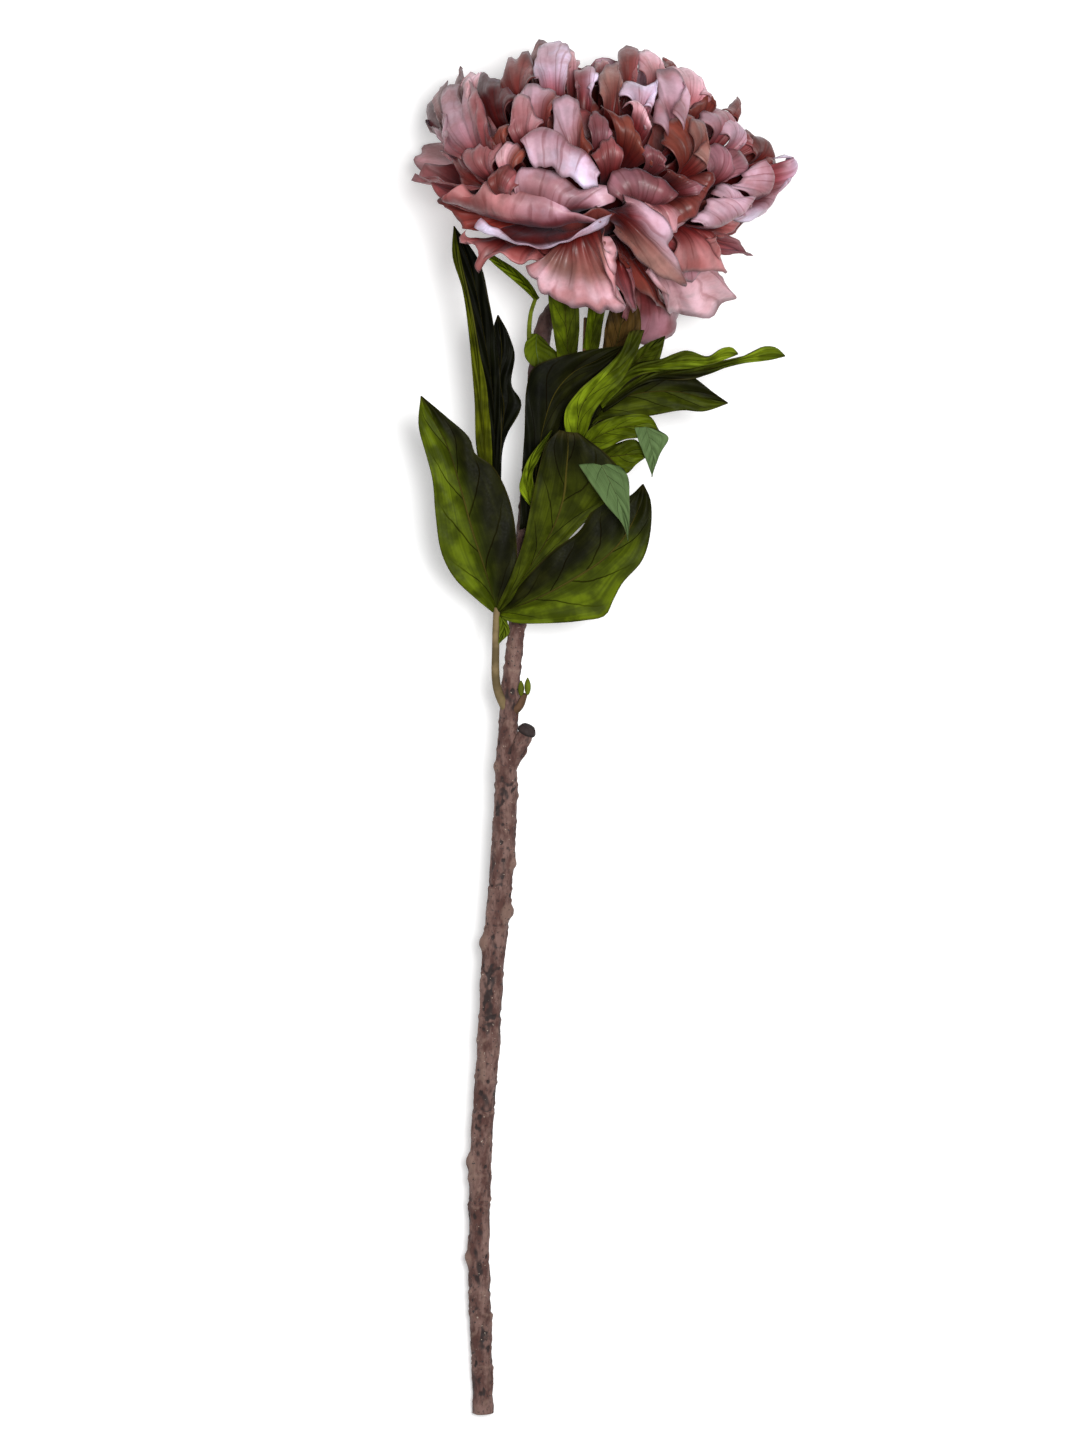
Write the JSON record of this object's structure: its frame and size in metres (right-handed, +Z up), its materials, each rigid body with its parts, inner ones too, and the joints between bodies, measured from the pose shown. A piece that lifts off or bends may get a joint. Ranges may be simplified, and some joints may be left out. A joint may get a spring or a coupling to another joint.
{
  "type": "peony stem",
  "caption": "Cut peony stem: a full ruffled bloom on a woody branch with compound green leaves, lying on its side.",
  "frame": {"origin": "middle of the bounding box, on the surface that the flower lies on", "axes": "+Y along the stem from the cut end to the bloom, +Z up from the surface"},
  "size_m": [0.1875, 0.7014, 0.1595],
  "materials": {
    "bark": "rough reddish-brown bark with grey patches",
    "leaf_green": "satin mid green leaf with brownish veins",
    "dark_leaf": "dark green leaf, lighter underneath",
    "young_green": "yellow-green young growth",
    "calyx_green": "matte green sepals",
    "petal": "satin dusty pink petals with silvery highlights"
  },
  "bodies": {
    "root": {"stem": "bark", "side_shoot": "young_green", "leaf_forked": "leaf_green", "leaf_left": "dark_leaf", "leaf_right": "leaf_green", "leaf_top": "young_green", "calyx": "calyx_green", "bloom": "petal"}
  },
  "joints": []
}
